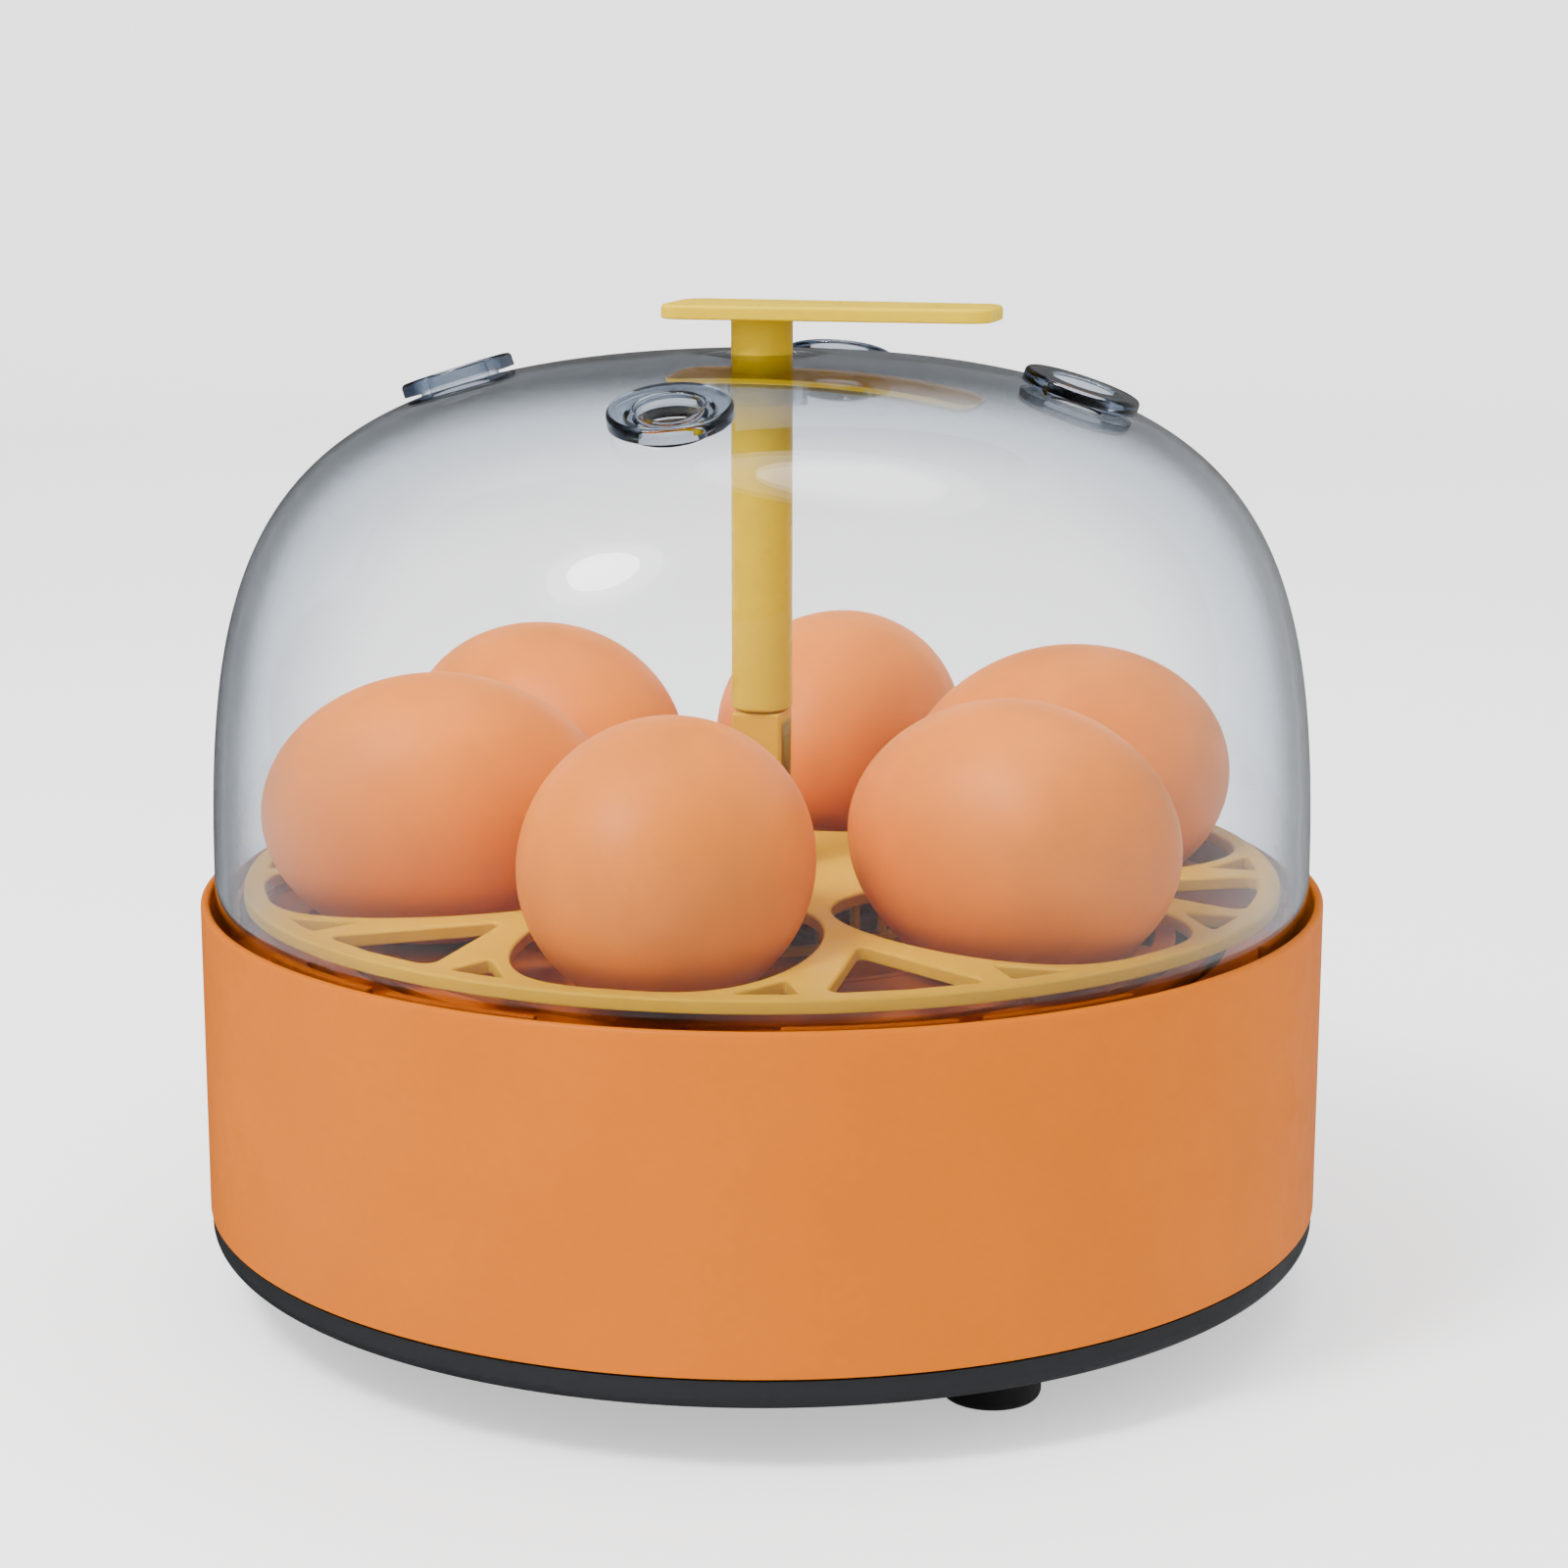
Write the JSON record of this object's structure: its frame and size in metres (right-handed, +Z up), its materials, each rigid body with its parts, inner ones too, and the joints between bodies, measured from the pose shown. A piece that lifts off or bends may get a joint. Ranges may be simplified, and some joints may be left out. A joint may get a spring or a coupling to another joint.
{
  "type": "egg incubator",
  "caption": "Round table-top egg incubator: heated base, hand-turned egg tray with eggs, clear lift-off dome with vents and a turning handle.",
  "frame": {"origin": "centre of the square that bounds the object, on the plane the feet stand on; it is on the round body's axis", "axes": "+Z up along the body's axis, -Y towards the front, with the controls and the power inlet at the rear, +Y; the long end of the handle points to +X"},
  "size_m": [0.185, 0.185, 0.1621],
  "materials": {
    "orange_shell": "smooth moulded, satin",
    "black_cover": "smooth moulded, satin",
    "black_rubber": "matt",
    "orange_deck": "smooth moulded, satin",
    "clear_dome": "clear, polished, faint blue-grey tint",
    "clear_vents": "clear, polished",
    "yellow_handle": "smooth moulded, half gloss",
    "yellow_tray": "smooth moulded, satin",
    "eggshell": "matt natural eggshell",
    "zinc_screw": "zinc plated",
    "fan_plastic": "moulded",
    "impeller_plastic": "moulded",
    "plate_aluminium": "mill finish",
    "heater_steel": "heat tinted",
    "mica_board": "insulating board",
    "sensor_steel": "drawn",
    "board_green": "solder mask",
    "panel_plastic": "satin",
    "window_lens": "smoked, polished",
    "button_plastic": "satin",
    "jack_plastic": "moulded"
  },
  "bodies": {
    "base": {"outer_shell": "orange_shell", "bottom_cover": "black_cover", "foot_front_right": "black_rubber", "foot_rear_right": "black_rubber", "foot_rear_left": "black_rubber", "foot_front_left": "black_rubber", "cover_screw_front": "zinc_screw", "cover_screw_right": "zinc_screw", "cover_screw_rear": "zinc_screw", "cover_screw_left": "zinc_screw", "deck": "orange_deck", "fan_plate": "plate_aluminium", "fan_frame": "fan_plastic", "heater_ring": "heater_steel", "heater_bracket": "mica_board", "temperature_sensor": "sensor_steel", "control_board": "board_green", "display_board": "board_green", "control_panel": "panel_plastic", "display_window": "window_lens", "power_jack": "jack_plastic"},
    "lid": {"dome": "clear_dome", "vent_ring_front": "clear_vents", "vent_ring_right": "clear_vents", "vent_ring_rear": "clear_vents", "vent_ring_left": "clear_vents"},
    "handle": {"handle": "yellow_handle"},
    "tray": {"turning_tray": "yellow_tray"},
    "egg_1": {"egg_1": "eggshell"},
    "egg_2": {"egg_2": "eggshell"},
    "egg_3": {"egg_3": "eggshell"},
    "egg_4": {"egg_4": "eggshell"},
    "egg_5": {"egg_5": "eggshell"},
    "egg_6": {"egg_6": "eggshell"},
    "fan": {"fan_impeller": "impeller_plastic"},
    "up_button": {"button_up": "button_plastic"},
    "down_button": {"button_down": "button_plastic"}
  },
  "joints": [
    {"name": "lid_lift", "type": "slide", "parent": "base", "child": "lid", "axis": [0, 0, 1], "range_m": [0, 0.12]},
    {"name": "handle_turn", "type": "hinge", "parent": "lid", "child": "handle", "pos_m": [0, 0, 0.125], "axis": [0, 0, 1], "continuous": true},
    {"name": "tray_turn", "type": "hinge", "parent": "base", "child": "tray", "pos_m": [0, 0, 0.0685], "axis": [0, 0, 1], "continuous": true},
    {"name": "egg_1_roll", "type": "hinge", "parent": "tray", "child": "egg_1", "pos_m": [0, -0.0545, 0.0819], "axis": [0, -1, 0], "continuous": true},
    {"name": "egg_2_roll", "type": "hinge", "parent": "tray", "child": "egg_2", "pos_m": [0.0472, -0.02725, 0.0819], "axis": [0.866, -0.5, 0], "continuous": true},
    {"name": "egg_3_roll", "type": "hinge", "parent": "tray", "child": "egg_3", "pos_m": [0.0472, 0.02725, 0.0819], "axis": [0.866, 0.5, 0], "continuous": true},
    {"name": "egg_4_roll", "type": "hinge", "parent": "tray", "child": "egg_4", "pos_m": [0, 0.0545, 0.0819], "axis": [0, 1, 0], "continuous": true},
    {"name": "egg_5_roll", "type": "hinge", "parent": "tray", "child": "egg_5", "pos_m": [-0.0472, 0.02725, 0.0819], "axis": [-0.866, 0.5, 0], "continuous": true},
    {"name": "egg_6_roll", "type": "hinge", "parent": "tray", "child": "egg_6", "pos_m": [-0.0472, -0.02725, 0.0819], "axis": [-0.866, -0.5, 0], "continuous": true},
    {"name": "fan_spin", "type": "hinge", "parent": "base", "child": "fan", "pos_m": [0, 0, 0.042], "axis": [0, 0, 1], "continuous": true},
    {"name": "up_button_press", "type": "slide", "parent": "base", "child": "up_button", "axis": [0, -1, 0], "range_m": [0, 0.0008], "stiffness_N_per_m": 400},
    {"name": "down_button_press", "type": "slide", "parent": "base", "child": "down_button", "axis": [0, -1, 0], "range_m": [0, 0.0008], "stiffness_N_per_m": 400}
  ],
  "couplings": [
    {"joint": "handle_turn", "follows": "tray_turn", "ratio": 1},
    {"joint": "egg_1_roll", "follows": "tray_turn", "ratio": -2.4773},
    {"joint": "egg_2_roll", "follows": "tray_turn", "ratio": -2.4773},
    {"joint": "egg_3_roll", "follows": "tray_turn", "ratio": -2.4773},
    {"joint": "egg_4_roll", "follows": "tray_turn", "ratio": -2.4773},
    {"joint": "egg_5_roll", "follows": "tray_turn", "ratio": -2.4773},
    {"joint": "egg_6_roll", "follows": "tray_turn", "ratio": -2.4773}
  ]
}
